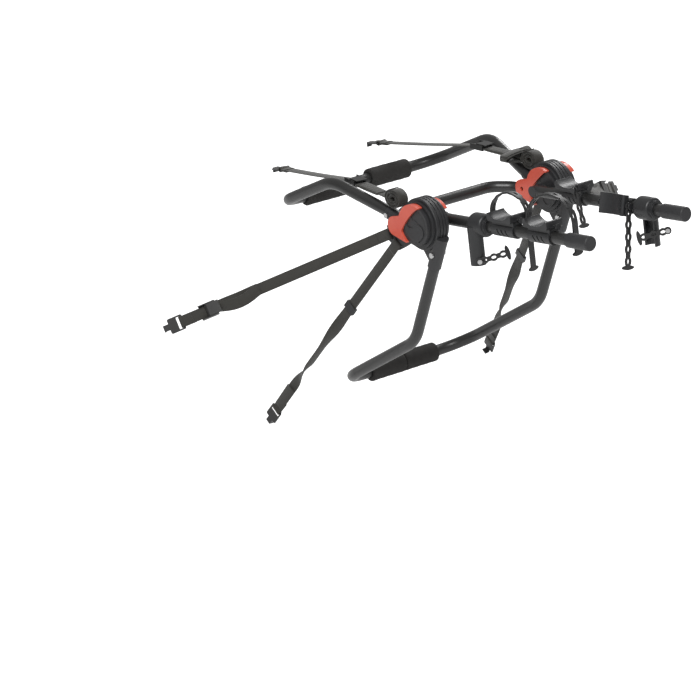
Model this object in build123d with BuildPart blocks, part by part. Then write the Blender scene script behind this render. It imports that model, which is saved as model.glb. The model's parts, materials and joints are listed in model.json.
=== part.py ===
from build123d import *
import math
import os

# Trunk mounted bike rack. Lengths are in millimetres, +X is the car's right side,
# +Y points forward over the trunk lid and +Z is up. Everything is drawn about the
# hub axis, then moved so that the origin is the middle of the lower cross tube.
# "Station" is a distance along a carrying arm, measured from the hub axis.

# Tubes and fits
tube_r = 12.7
tube_wall = 2.0
tube_bore = tube_r - tube_wall
gap = 0.3
run_fit = 0.08
snug = 0.2
overrun = 2.0

# Lower frame: two legs, two foot extensions and a cross tube
lower_x = 177.0
lower_reach = 306.0
lower_drop = 466.0
lower_bend_y = 38.0
lower_bend_z = -283.0
leg_lean = 18.75
leg_offset = 55.4
leg_seat = 10.0
lower_bend_r = 90.0
lower_corner_r = 78.0

# Upper frame: its legs run straight out of the hubs, then splay to the bends
upper_root_x = 193.4
upper_root_y = 60.0
upper_root_z = -10.0
upper_neck_y = 110.0
upper_neck_z = 0.8
upper_x = 224.0
upper_bend_y = 262.0
upper_bend_z = 33.0
upper_reach = 466.0
upper_drop = 77.0
upper_neck_r = 120.0
upper_bend_r = 90.0
upper_corner_r = 75.0

# Crossbar in front of the hubs
bar_x = 122.0
bar_y = 143.0
bar_z = -28.0
bar_end_x = 164.8
bar_turn_y = 106.0
bar_end_y = 64.0
bar_bend_r = 50.0
bar_turn_r = 40.0

# Carrying arms
arm_x = 131.5
arm_rise = 9.4
arm_start = 22.0
arm_length = 476.0
cap_length = 68.0
cap_r = 15.9
cap_end_wall = 3.0
cap_round = 3.0
root_r = 12.0
root_flange_r = tube_r
root_flange = 6.0

# Foam sleeves
foam_r = 22.0
foam_chamfer = 4.0
lower_foam_length = 94.0
lower_foam_seam = 0.6
upper_foam_start = 35.0
upper_foam_length = 112.0

# Hub stack, measured outwards from the middle plane
inner_cap_x = 150.0
inner_cap_thick = 5.4
arm_plate_thick = 5.2
hub_x = 161.0
hub_thick = 32.0
upper_plate_x = 193.4
upper_plate_thick = 6.2
outer_cap_x = 200.0
outer_cap_thick = 8.6
cap_disc_r = 44.0
plate_r = 51.0
hub_r = 57.0
hub_round = 2.0
groove_deep = 2.5
groove_wide = 2.6
groove_shares = (0.18, 0.42, 0.68)
relief_deep = 1.0
relief_in_r = 12.0
relief_out_r = 36.0
relief_disc_r = 12.0
relief_disc_y = -14.0
relief_disc_z = -20.0

# Axle bolt, with its head in the outer cap and its nut in the inner cap
axle_r = 6.0
axle_head_r = 10.0
axle_head_thick = 4.0
nut_r = 9.5
nut_thick = 2.9

# Friction lock discs and their spring rings, in pockets of the hub bodies
pocket_in_r = 16.0
pocket_out_r = 36.0
pocket_deep = 11.0
lock_slack = 1.3
spring_thick = 1.2

# Lock levers: a crescent over each cap with a skirt round its rim and a thumb tab
lever_thick = 5.0
lever_lift = 0.4
lever_skirt = 3.2
lever_skirt_gap = 0.5
lever_waist_r = 21.8
lever_waist_angle = 22.0
lever_top_angle = 110.0
lever_inner_angle = -32.0
lever_tail_angle = -64.0
thumb_ring_r = 65.0
thumb_angle = -14.6
thumb_r = 21.0
thumb_top_angle = 16.0
thumb_hole_r = 5.0
far_turn = 22.0

# Sockets and bolts
socket_r = 15.0
socket_lip_r = 16.0
socket_lip = 5.0
socket_length = 78.0
upper_socket_r = 15.1
upper_socket_length = 44.0
web_plate_thick = 12.0
web_angle = -82.0
spigot_length = 24.0
neck_r = 12.4
neck_length = 6.0
bolt_r = 3.0
bolt_head_r = 6.0
bolt_head_thick = 3.5
lower_bolt_share = 0.56
upper_bolt_share = 0.8

# Slotted ear of each upper plate, which carries the side and lower webbing
side_slot = (91.0, -44.0)
lower_slot = (65.0, -57.0)
side_slot_angle = 55.0
lower_slot_angle = 33.0
ear_slot_long = 28.0
ear_slot_wide = 4.6
ear_rim = 5.0
ear_root_r = 40.0

# Cradles, placed along the arms by their stations
clamp_r = 16.5
clamp_bore = tube_r + gap
clamp_half = 34.0
slot_wide = 3.6
slot_tall = 15.0
slot_pitch = 13.0
slot_lean = 24.0
slot_low = -4.0
saddle_half = 38.0
saddle_wide = 44.0
saddle_base = 19.0
saddle_top = 37.0
saddle_floor = 23.0
saddle_dip_r = 46.0
saddle_round = 5.0
pedestal_wide = 24.0
stud_r = 4.0
stud_length = 9.0
stud_head_r = 6.5
stud_head_thick = 3.0
stud_slack = 1.0
strap_thick = 4.0
link_wide = 16.0
link_waist = 10.5
link_pitch = 26.0
link_hole_wide = 6.5
link_hole_long = 13.0
tab_wide = 32.0
tab_tall = 10.0
link_notch = 11.0
link_share = 0.42
hole_share = 0.25
left_gap_shares = (0.64, 0.68, 0.79)
right_gap_shares = (0.43, 0.83, 0.85)
sway_roll_right = 75.0
side_stud_place = 32.0
plain_arch_r = 59.0
plain_arch_y = 28.0
plain_yaw = 12.0
plain_tail = 34.0
plain_links = 6
sway_arch_r = 44.5
sway_arch_y = 32.0
sway_yaw = 15.0
sway_tail = 84.0
sway_links = 4
plain_hang_links = 3
sway_hang_links = 5
plain_hang_lean = -14.0
sway_hang_lean = 8.0

# Anti-sway stirrup beside its saddle
knuckle_half = 22.0
knuckle_r = 25.0
knuckle_round = 6.0
rib_r = 19.0
rib_thick = 3.0
rib_space = 4.0
rib_count = 2
stirrup_r = 17.5
stirrup_wall = 4.5
stirrup_drop = 84.0
stirrup_out = 11.0
stirrup_back = 8.0
stirrup_open_angle = 70.0
stirrup_pitch = 20.5
stirrup_strap_turn = 49.7
left_strap_links = 3
left_strap_start = 3.0
left_strap_drop = 74.0
left_strap_lean = 13.0
right_strap_links = 3
right_strap_start = 34.0
right_strap_drop = 50.5
right_strap_lean = 9.8
screw_head_r = 5.0
screw_head_thick = 2.5

# Webbing
web_wide = 25.0
web_thick = 1.8
lower_hook = (313.0, 364.0, -515.0)
left_side_hook = (584.0, 330.0, -222.0)
right_side_hook = (655.0, 330.0, -208.0)
upper_hook = (140.0, 548.0, -36.0)
upper_kink = (176.0, 258.0, 26.0)
roll_x = 191.5
roll_y = 78.0
roll_r = 24.0
roll_core_r = 6.0
roll_clear = 1.6
roll_share = 0.36
sleeve_wide = 30.0
sleeve_thick = 7.0
sleeve_start = 32.0
sleeve_length = 84.0
keeper_share = 0.38
keeper_long = 18.0
keeper_wide = 31.0
keeper_thick = 7.0

# Hook plates and cam buckles at the webbing's far ends
hook_long = 34.0
hook_wide = 34.0
hook_thick = 2.4
hook_bar = 7.0
hook_slot_long = 7.0
hook_slot_wide = 27.0
hook_tip_wide = 14.0
hook_tip_long = 15.0
hook_lip = 10.0
buckle_long = 38.0
buckle_wide = 33.0
buckle_wall = 2.6
buckle_tall = 9.0
buckle_from_hook = 62.0
cam_pin_r = 2.2
cam_r = 4.4
cam_height = 6.2
cam_tab_long = 27.0
cam_tab_thick = 2.4

# Places worked out from the sizes above
to_row = Location((0, -lower_reach, lower_drop))
lean = math.radians(leg_lean)
rise = math.radians(arm_rise)
leg_dir = Vector(0, math.sin(lean), -math.cos(lean))
leg_side = Vector(0, -math.cos(lean), -math.sin(lean))
arm_dir = Vector(0, -math.cos(rise), math.sin(rise))
arm_plate_x = inner_cap_x + inner_cap_thick
lever_in_r = cap_disc_r + gap
lever_out_r = lever_in_r + lever_skirt
sides = {"left": -1, "right": 1}

os.makedirs("parts", exist_ok=True)


def write(piece, name):
    """Move a finished piece into the row frame, label it and write its file."""
    placed = piece.part.moved(to_row)
    placed.label = name
    export_step(placed, f"parts/{name}.step")


def polar(radius, angle):
    """The point (y, z) on a circle about the hub axis, angle from +Y towards +Z."""
    return radius * math.cos(math.radians(angle)), radius * math.sin(math.radians(angle))


def hub_plane(x):
    """A plane across the hub axis, whose own x and y are +Y and +Z."""
    return Plane(origin=(x, 0, 0), x_dir=(0, 1, 0), z_dir=(1, 0, 0))


def turned(plane, angle):
    """The same plane turned about its own z."""
    turn = math.radians(angle)
    x_dir = plane.x_dir * math.cos(turn) + plane.y_dir * math.sin(turn)
    return Plane(origin=plane.origin, x_dir=x_dir, z_dir=plane.z_dir)


def arm_plane(side, station, roll=0):
    """A plane across an arm: x is +X, y is up and z runs outwards along the arm."""
    start = Vector(side * arm_x, 0, 0) + arm_dir * station
    return turned(Plane(origin=start, x_dir=(1, 0, 0), z_dir=arm_dir), roll)


def disc(x, radius, thick):
    """Add a disc on the hub axis, from x outwards by thick (a sign tells which way)."""
    with BuildSketch(hub_plane(x)) as profile:
        Circle(radius)
    extrude(profile.sketch, amount=thick)


def bore(x, radius, thick):
    """Cut a round hole on the hub axis."""
    with BuildSketch(hub_plane(x)) as profile:
        Circle(radius)
    extrude(profile.sketch, amount=thick, mode=Mode.SUBTRACT)


def tube(points, radii):
    """Add a round tube along straight runs joined by arcs."""
    with BuildLine() as route:
        FilletPolyline(*points, radius=radii)
    with BuildSketch(Plane(origin=route.line @ 0, z_dir=route.line % 0)) as profile:
        Circle(tube_r)
        Circle(tube_bore, mode=Mode.SUBTRACT)
    sweep(profile.sketch, path=route.line)


def both_ways(points):
    """A route and its mirror image as one list of points."""
    return points + [(-x, y, z) for x, y, z in reversed(points)]


def web_plane(start, end, face):
    """A plane at start: x runs to end, y points along the webbing's face normal."""
    run = (end - start).normalized()
    across = run.cross(Vector(*face)).normalized()
    return Plane(origin=start, x_dir=run, z_dir=across)


def flipped(point, side):
    return Vector(side * point[0], point[1], point[2])


def box_on(plane, x0, x1, y0, y1, half, mode=Mode.ADD):
    """Add a block on a plane, from x0 to x1 and y0 to y1, half wide each way."""
    with BuildSketch(plane) as profile:
        with Locations(((x0 + x1) / 2, (y0 + y1) / 2)):
            Rectangle(abs(x1 - x0), abs(y1 - y0))
    extrude(profile.sketch, amount=half, both=True, mode=mode)


# Frame tubes
lower_top = leg_side * leg_offset + leg_dir * leg_seat
lower_half = [
    (lower_x, lower_top.Y, lower_top.Z),
    (lower_x, lower_bend_y, lower_bend_z),
    (lower_x, lower_reach, -lower_drop),
]
lower_bolt = leg_side * leg_offset + leg_dir * socket_length * lower_bolt_share
with BuildPart() as lower_frame:
    tube(both_ways(lower_half), [lower_bend_r, lower_corner_r, lower_corner_r, lower_bend_r])
    with BuildSketch(Plane(origin=(0, lower_bolt.Y, lower_bolt.Z), z_dir=(1, 0, 0))):
        Circle(bolt_r + gap)
    extrude(amount=lower_x + socket_r + overrun, both=True, mode=Mode.SUBTRACT)
write(lower_frame, "lower_frame")

upper_root = (upper_root_x, upper_root_y, upper_root_z)
upper_dir = (Vector(upper_root_x, upper_neck_y, upper_neck_z) - Vector(*upper_root)).normalized()
upper_half = [
    tuple(Vector(*upper_root) + upper_dir * (socket_lip + gap)),
    (upper_root_x, upper_neck_y, upper_neck_z),
    (upper_x, upper_bend_y, upper_bend_z),
    (upper_x, upper_reach, -upper_drop),
]
upper_radii = [upper_neck_r, upper_bend_r, upper_corner_r]
upper_bolt = Vector(*upper_root) + upper_dir * upper_socket_length * upper_bolt_share
with BuildPart() as upper_frame:
    tube(both_ways(upper_half), upper_radii + upper_radii[::-1])
    for side in sides.values():
        with BuildSketch(Plane(origin=flipped(tuple(upper_bolt), side), z_dir=(side, 0, 0))):
            Circle(bolt_r + gap)
        extrude(amount=tube_r + overrun, mode=Mode.SUBTRACT)
write(upper_frame, "upper_frame")

bar_half = [
    (bar_end_x, bar_end_y, bar_z),
    (bar_end_x, bar_turn_y, bar_z),
    (bar_x, bar_y, bar_z),
]
with BuildPart() as crossbar:
    tube(both_ways(bar_half), [bar_turn_r, bar_bend_r, bar_bend_r, bar_turn_r])
write(crossbar, "crossbar")


# Foam sleeves on the two cross tubes
def foam(start, length, y, z, name):
    with BuildPart() as sleeves:
        for side in sides.values():
            with BuildSketch(Plane(origin=(side * start, y, z), z_dir=(side, 0, 0))):
                Circle(foam_r)
            extrude(amount=length)
        chamfer(sleeves.edges().filter_by(GeomType.CIRCLE), foam_chamfer)
        for side in sides.values():
            with BuildSketch(Plane(origin=(side * start, y, z), z_dir=(side, 0, 0))):
                Circle(tube_r + gap)
            extrude(amount=length, mode=Mode.SUBTRACT)
    write(sleeves, name)


foam(lower_foam_seam / 2, lower_foam_length, lower_reach, -lower_drop, "lower_foam_sleeves")
foam(upper_foam_start, upper_foam_length, upper_reach, -upper_drop, "upper_foam_sleeves")

# Hub bodies: a drum with grooves round it, the lower leg's socket and the web between
socket_mid = leg_side * leg_offset
socket_end = socket_mid + leg_dir * socket_length
with BuildPart() as hub_bodies:
    for side in sides.values():
        disc(side * hub_x, hub_r, side * hub_thick)
    fillet(hub_bodies.edges().filter_by(GeomType.CIRCLE), hub_round)
    for side in sides.values():
        for share in groove_shares:
            with BuildSketch(hub_plane(side * (hub_x + hub_thick * share))):
                Circle(hub_r + overrun)
                Circle(hub_r - groove_deep, mode=Mode.SUBTRACT)
            extrude(amount=side * groove_wide, mode=Mode.SUBTRACT)
        mid = Plane(origin=(side * lower_x, socket_mid.Y, socket_mid.Z), x_dir=(1, 0, 0), z_dir=leg_dir)
        with BuildSketch(mid):
            Circle(socket_r)
        extrude(amount=socket_length)
        with BuildSketch(mid):
            Circle(socket_lip_r)
        extrude(amount=socket_lip)
        with BuildSketch(hub_plane(side * lower_x)):
            Polygon(
                (0, 0),
                polar(hub_r - groove_deep, web_angle),
                (socket_end.Y, socket_end.Z),
                (socket_mid.Y, socket_mid.Z),
                align=None,
            )
        extrude(amount=web_plate_thick / 2, both=True)
        with BuildSketch(mid.offset(leg_seat - gap)):
            Circle(tube_r + snug)
        extrude(amount=socket_length, mode=Mode.SUBTRACT)
        bore(side * (hub_x - overrun), axle_r + run_fit, side * (hub_thick + 2 * overrun))
        with BuildSketch(hub_plane(side * hub_x)):
            Circle(pocket_out_r)
            Circle(pocket_in_r, mode=Mode.SUBTRACT)
        extrude(amount=side * pocket_deep, mode=Mode.SUBTRACT)
        with BuildSketch(Plane(origin=(side * lower_x, lower_bolt.Y, lower_bolt.Z), z_dir=(1, 0, 0))):
            Circle(bolt_r + gap)
        extrude(amount=socket_r + overrun, both=True, mode=Mode.SUBTRACT)
write(hub_bodies, "hub_bodies")

# Bolts through the lower sockets: head towards -X, nut towards +X
with BuildPart() as lower_leg_bolts:
    for side in sides.values():
        head = Plane(origin=(side * lower_x - socket_r, lower_bolt.Y, lower_bolt.Z), z_dir=(1, 0, 0))
        with BuildSketch(head):
            Circle(bolt_r)
        extrude(amount=2 * socket_r)
        with BuildSketch(head):
            Circle(bolt_head_r)
        extrude(amount=-bolt_head_thick)
        with BuildSketch(head.offset(2 * socket_r)):
            RegularPolygon(bolt_head_r, 6)
        extrude(amount=bolt_head_thick)
write(lower_leg_bolts, "lower_leg_bolts")

with BuildPart() as upper_leg_bolts:
    for side in sides.values():
        seat = Plane(origin=flipped(tuple(upper_bolt), side), z_dir=(side, 0, 0)).offset(upper_socket_r)
        with BuildSketch(seat):
            Circle(bolt_r)
        extrude(amount=-upper_socket_r)
        with BuildSketch(seat):
            Circle(bolt_head_r)
        extrude(amount=bolt_head_thick)
write(upper_leg_bolts, "upper_leg_bolts")

# Axle bolts, nuts, lock discs and spring rings
axle_end = arm_plate_x - gap - nut_thick
with BuildPart() as axle_bolts:
    for side in sides.values():
        disc(side * outer_cap_x, axle_head_r, side * axle_head_thick)
        disc(side * axle_end, axle_r, side * (outer_cap_x - axle_end))
write(axle_bolts, "axle_bolts")

with BuildPart() as axle_nuts:
    for side in sides.values():
        with BuildSketch(hub_plane(side * axle_end)):
            RegularPolygon(nut_r, 6)
            Circle(axle_r, mode=Mode.SUBTRACT)
        extrude(amount=side * nut_thick)
write(axle_nuts, "axle_nuts")

pocket_floor = hub_x + pocket_deep
spring_x = pocket_floor - gap - spring_thick
lock_x = arm_plate_x + arm_plate_thick + lock_slack
with BuildPart() as lock_discs:
    for side in sides.values():
        with BuildSketch(hub_plane(side * lock_x)):
            Circle(pocket_out_r - gap)
            Circle(pocket_in_r + gap, mode=Mode.SUBTRACT)
        extrude(amount=side * (spring_x - gap - lock_x))
write(lock_discs, "lock_discs")

with BuildPart() as spring_rings:
    for side in sides.values():
        with BuildSketch(hub_plane(side * spring_x)):
            Circle(pocket_out_r - gap)
            Circle(pocket_in_r + gap, mode=Mode.SUBTRACT)
        extrude(amount=side * spring_thick)
write(spring_rings, "spring_rings")

# Upper plates: disc, socket round the upper leg and the slotted ear
ear_points = [
    polar(ear_root_r, -10),
    (side_slot[0] + ear_slot_long / 2, side_slot[1] + ear_slot_long / 2),
    (side_slot[0] + ear_slot_long / 4, side_slot[1] - ear_slot_long / 2 - ear_rim),
    (lower_slot[0], lower_slot[1] - ear_slot_long / 2 - ear_rim),
    (lower_slot[0] - ear_slot_long / 2 - ear_rim, lower_slot[1] - ear_slot_long / 4),
    polar(ear_root_r, -75),
]
with BuildPart() as upper_plates:
    for side in sides.values():
        disc(side * upper_plate_x, plate_r, side * upper_plate_thick)
        with BuildSketch(hub_plane(side * upper_plate_x)):
            Polygon(*ear_points, align=None)
            Polygon(
                polar(ear_root_r, 25),
                (upper_root_y + socket_lip, upper_root_z + upper_socket_r),
                (upper_root_y + socket_lip, upper_root_z - upper_socket_r),
                polar(ear_root_r, -25),
                align=None,
            )
        extrude(amount=side * upper_plate_thick)
        root = Plane(origin=flipped(upper_root, side), x_dir=(1, 0, 0), z_dir=upper_dir)
        with BuildSketch(root):
            Circle(upper_socket_r)
        extrude(amount=upper_socket_length)
        with BuildSketch(root.offset(socket_lip)):
            Circle(tube_r + snug)
        extrude(amount=upper_socket_length, mode=Mode.SUBTRACT)
        with BuildSketch(hub_plane(side * (upper_plate_x - overrun))):
            Circle(axle_r + run_fit)
            with Locations(Location((side_slot[0], side_slot[1], 0), side_slot_angle)):
                SlotOverall(ear_slot_long, ear_slot_wide)
            with Locations(Location((lower_slot[0], lower_slot[1], 0), lower_slot_angle)):
                SlotOverall(ear_slot_long, ear_slot_wide)
        extrude(amount=side * (upper_plate_thick + 2 * overrun), mode=Mode.SUBTRACT)
        with BuildSketch(Plane(origin=flipped(tuple(upper_bolt), side), z_dir=(side, 0, 0))):
            Circle(bolt_r + gap)
        extrude(amount=upper_socket_r + overrun, mode=Mode.SUBTRACT)
write(upper_plates, "upper_hub_plates")

# Arm plates: disc and the neck and spigot that hold the crossbar
neck_start = bar_end_y - neck_length
with BuildPart() as arm_plates:
    for side in sides.values():
        disc(side * arm_plate_x, plate_r, side * arm_plate_thick)
        with BuildSketch(hub_plane(side * arm_plate_x)):
            Polygon(
                polar(ear_root_r, 5),
                (bar_end_y, bar_z + neck_r),
                (bar_end_y, bar_z - neck_r),
                polar(ear_root_r, -62),
                align=None,
            )
        extrude(amount=side * arm_plate_thick)
        with BuildSketch(Plane(origin=(side * bar_end_x, neck_start, bar_z), z_dir=(0, 1, 0))):
            Circle(neck_r)
        extrude(amount=neck_length)
        with BuildSketch(Plane(origin=(side * bar_end_x, bar_end_y, bar_z), z_dir=(0, 1, 0))):
            Circle(tube_bore - snug)
        extrude(amount=min(spigot_length, bar_turn_y - bar_end_y - bar_turn_r / 2))
        bore(side * (arm_plate_x - overrun), axle_r + run_fit, side * (arm_plate_thick + 2 * overrun))
write(arm_plates, "arm_plates")


# Caps: bevelled discs with a pocket behind and sunk ornament on the face
def cap(face_x, thick, outwards, turn, pocket_r, pocket):
    """One cap; outwards is the sign of x in which its face looks."""
    disc(face_x, cap_disc_r, -outwards * thick)
    with BuildSketch(hub_plane(face_x)) as profile:
        with BuildLine():
            CenterArc((0, 0), relief_out_r, turn + 60, 80)
            CenterArc((0, 0), relief_in_r, turn + 60, 80)
            Line(polar(relief_in_r, turn + 60), polar(relief_out_r, turn + 60))
            Line(polar(relief_in_r, turn + 140), polar(relief_out_r, turn + 140))
        make_face()
    extrude(profile.sketch, amount=-outwards * relief_deep, mode=Mode.SUBTRACT)
    spot = Vector(relief_disc_y, relief_disc_z, 0).rotate(Axis.Z, turn)
    with BuildSketch(hub_plane(face_x)) as profile:
        with Locations((spot.X, spot.Y)):
            Circle(relief_disc_r)
    extrude(profile.sketch, amount=-outwards * relief_deep, mode=Mode.SUBTRACT)
    with BuildSketch(hub_plane(face_x - outwards * thick)) as profile:
        Circle(pocket_r)
    extrude(profile.sketch, amount=outwards * pocket, mode=Mode.SUBTRACT)


with BuildPart() as outer_caps:
    for side in sides.values():
        turn = far_turn if side > 0 else 0
        face = side * (outer_cap_x + outer_cap_thick)
        cap(face, outer_cap_thick, side, turn, axle_head_r + gap, axle_head_thick + gap)
write(outer_caps, "outer_caps")

with BuildPart() as inner_caps:
    for side in sides.values():
        turn = far_turn if side < 0 else 0
        cap(side * inner_cap_x, inner_cap_thick, -side, turn, nut_r + gap, nut_thick + 2 * gap)
write(inner_caps, "inner_caps")


# Lock levers
def lever(face_x, outwards, skirt_to, turn, hole):
    """A lever whose face lies at face_x; its skirt runs back to skirt_to."""
    base = turned(hub_plane(face_x), turn)
    with BuildSketch(base) as profile:
        with BuildLine():
            ThreePointArc(
                polar(lever_out_r, lever_top_angle),
                polar(lever_out_r, (lever_top_angle + lever_inner_angle) / 2),
                polar(lever_out_r, lever_inner_angle),
            )
            ThreePointArc(
                polar(lever_out_r, lever_inner_angle),
                polar(lever_waist_r, lever_waist_angle),
                polar(lever_out_r, lever_top_angle),
            )
        make_face()
        with BuildLine():
            ThreePointArc(
                polar(lever_out_r, lever_top_angle),
                polar(lever_out_r, (lever_top_angle + lever_tail_angle) / 2),
                polar(lever_out_r, lever_tail_angle),
            )
            Line(polar(lever_out_r, lever_tail_angle), polar(lever_in_r, lever_tail_angle))
            ThreePointArc(
                polar(lever_in_r, lever_tail_angle),
                polar(lever_in_r, (lever_top_angle + lever_tail_angle) / 2),
                polar(lever_in_r, lever_top_angle),
            )
            Line(polar(lever_in_r, lever_top_angle), polar(lever_out_r, lever_top_angle))
        make_face()
        thumb_y, thumb_z = polar(thumb_ring_r, thumb_angle)
        with Locations((thumb_y, thumb_z)):
            Circle(thumb_r)
        upper_y, upper_z = polar(thumb_r, thumb_angle + 90)
        lower_y, lower_z = polar(thumb_r, thumb_angle - 65)
        Polygon(
            (thumb_y + upper_y, thumb_z + upper_z),
            polar(lever_in_r, thumb_top_angle),
            polar(lever_in_r, lever_tail_angle / 2),
            polar(lever_out_r, lever_tail_angle),
            (thumb_y + lower_y, thumb_z + lower_z),
            align=None,
        )
        if hole:
            with Locations((thumb_y, thumb_z)):
                Circle(hole, mode=Mode.SUBTRACT)
    extrude(profile.sketch, amount=outwards * lever_thick)
    with BuildSketch(base) as profile:
        with BuildLine():
            ThreePointArc(
                polar(lever_out_r, lever_top_angle),
                polar(lever_out_r, (lever_top_angle + lever_tail_angle) / 2),
                polar(lever_out_r, lever_tail_angle),
            )
            Line(polar(lever_out_r, lever_tail_angle), polar(lever_in_r, lever_tail_angle))
            ThreePointArc(
                polar(lever_in_r, lever_tail_angle),
                polar(lever_in_r, (lever_top_angle + lever_tail_angle) / 2),
                polar(lever_in_r, lever_top_angle),
            )
            Line(polar(lever_in_r, lever_top_angle), polar(lever_out_r, lever_top_angle))
        make_face()
    extrude(profile.sketch, amount=-outwards * abs(face_x - skirt_to))


outer_face = outer_cap_x + outer_cap_thick + lever_lift
inner_face = inner_cap_x - lever_lift
for name, side in sides.items():
    with BuildPart() as outer_lever:
        turn = far_turn if side > 0 else 0
        skirt_end = side * (outer_cap_x + lever_skirt_gap)
        lever(side * outer_face, side, skirt_end, turn, 0)
    write(outer_lever, f"{name}_outer_lever")
    with BuildPart() as inner_lever:
        turn = far_turn if side < 0 else 0
        skirt_end = side * (arm_plate_x - lever_skirt_gap)
        lever(side * inner_face, -side, skirt_end, turn, thumb_hole_r)
    write(inner_lever, f"{name}_inner_lever")

# Arms, their roots and their end caps
for name, side in sides.items():
    with BuildPart() as arm:
        with BuildSketch(arm_plane(side, arm_start)):
            Circle(tube_r)
            Circle(tube_bore, mode=Mode.SUBTRACT)
        extrude(amount=arm_length - cap_end_wall - arm_start)
    write(arm, f"{name}_arm")

with BuildPart() as arm_roots:
    for side in sides.values():
        disc(side * inner_cap_x, root_r, -side * (inner_cap_x - arm_x + root_r))
        with BuildSketch(arm_plane(side, 0)):
            Circle(root_r)
        extrude(amount=arm_start - root_flange)
        with BuildSketch(arm_plane(side, arm_start - root_flange)):
            Circle(root_flange_r)
        extrude(amount=root_flange)
        with BuildSketch(arm_plane(side, arm_start)):
            Circle(tube_bore - snug)
        extrude(amount=spigot_length)
write(arm_roots, "arm_roots")

with BuildPart() as arm_end_caps:
    for side in sides.values():
        with BuildSketch(arm_plane(side, arm_length - cap_length)):
            Circle(cap_r)
        extrude(amount=cap_length)
    ends = arm_end_caps.edges().filter_by(GeomType.CIRCLE)
    fillet(ends, cap_round)
    for side in sides.values():
        with BuildSketch(arm_plane(side, arm_length - cap_length)):
            Circle(tube_r + snug)
        extrude(amount=cap_length - cap_end_wall + snug, mode=Mode.SUBTRACT)
write(arm_end_caps, "arm_end_caps")


# Cradle pieces
stud_line = (saddle_base + saddle_floor) / 2 + stud_head_r / 2

# The pieces on each arm share its free length, so they keep clear at any arm length
cradle_long = 2 * (saddle_half + stud_length + stud_head_thick)
stirrup_long = 2 * knuckle_half + rib_count * rib_space
free = arm_length - cap_length - arm_start - stirrup_long - 2 * cradle_long
stirrup_station_left = arm_start + free * left_gap_shares[0] + knuckle_half
sway_station_left = arm_start + free * left_gap_shares[1] + stirrup_long + cradle_long / 2
plain_station_left = arm_start + free * left_gap_shares[2] + stirrup_long + cradle_long * 3 / 2
plain_station_right = arm_start + free * right_gap_shares[0] + cradle_long / 2
sway_station_right = arm_start + free * right_gap_shares[1] + cradle_long * 3 / 2
stirrup_station_right = arm_start + free * right_gap_shares[2] + 2 * cradle_long + knuckle_half


def side_view(side, station, roll=0, yaw=0):
    """A plane along the arm: x outwards along it, turned by yaw towards +X, y up."""
    across = arm_plane(side, station, roll)
    turn = math.radians(yaw)
    out = across.z_dir * math.cos(turn) + across.x_dir * math.sin(turn)
    return Plane(origin=across.origin, x_dir=out, z_dir=out.cross(across.y_dir))


def clamp(side, station, roll):
    """Split sleeve round the arm with a flat top and slanted slots in its sides."""
    with BuildSketch(arm_plane(side, station - clamp_half, roll)) as profile:
        Circle(clamp_r)
        with Locations((0, saddle_base / 2)):
            Rectangle(pedestal_wide, saddle_base)
        Circle(clamp_bore, mode=Mode.SUBTRACT)
    extrude(profile.sketch, amount=2 * clamp_half)
    with BuildSketch(side_view(side, station, roll)) as profile:
        for place in (-1, 0, 1):
            with Locations(Location((place * slot_pitch, slot_low, 0), 90 + slot_lean)):
                SlotOverall(slot_tall, slot_wide)
    extrude(profile.sketch, amount=clamp_r + overrun, both=True, mode=Mode.SUBTRACT)


def saddle(side, station, roll, side_stud):
    """Trough across the arm for a frame tube, with a strap stud at each end."""
    view = side_view(side, station, roll)
    with BuildSketch(view) as profile:
        with Locations((0, (saddle_base + saddle_top) / 2)):
            RectangleRounded(2 * saddle_half, saddle_top - saddle_base, saddle_round)
        with Locations((0, saddle_floor + saddle_dip_r)):
            Circle(saddle_dip_r, mode=Mode.SUBTRACT)
        with Locations((0, saddle_base + saddle_round / 2)):
            Rectangle(2 * saddle_half - 2 * saddle_round, saddle_round)
    extrude(profile.sketch, amount=saddle_wide / 2, both=True)
    roots = [
        Plane(
            origin=view.from_local_coords((end * (saddle_half - overrun), stud_line, 0)),
            z_dir=view.x_dir * end,
        )
        for end in (-1, 1)
    ]
    if side_stud:
        place = (side_stud_place, stud_line, saddle_wide / 2 - overrun)
        roots.append(Plane(origin=view.from_local_coords(place), z_dir=view.z_dir))
    for root in roots:
        with BuildSketch(root) as profile:
            Circle(stud_r)
        extrude(profile.sketch, amount=stud_length + overrun)
        with BuildSketch(root.offset(stud_length + overrun)) as profile:
            Circle(stud_head_r)
        extrude(profile.sketch, amount=stud_head_thick)


def ladder(plane, links, pitch):
    """A straight ladder strap on a plane: x along it, flat face towards z, T tab at the end."""
    length = links * pitch
    holes = [((number + 0.5) * pitch, 0) for number in range(links)]
    with BuildSketch(plane) as profile:
        Circle(link_wide / 2)
        with Locations((length / 2, 0)):
            Rectangle(length, link_waist)
        with Locations(*holes):
            Ellipse(pitch * link_share, link_wide / 2)
        with Locations((length, 0)):
            Ellipse(tab_tall / 2, tab_wide / 2)
        with Locations(*holes):
            Ellipse(pitch * hole_share, link_hole_wide / 2, mode=Mode.SUBTRACT)
    extrude(profile.sketch, amount=strap_thick / 2, both=True)


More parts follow.
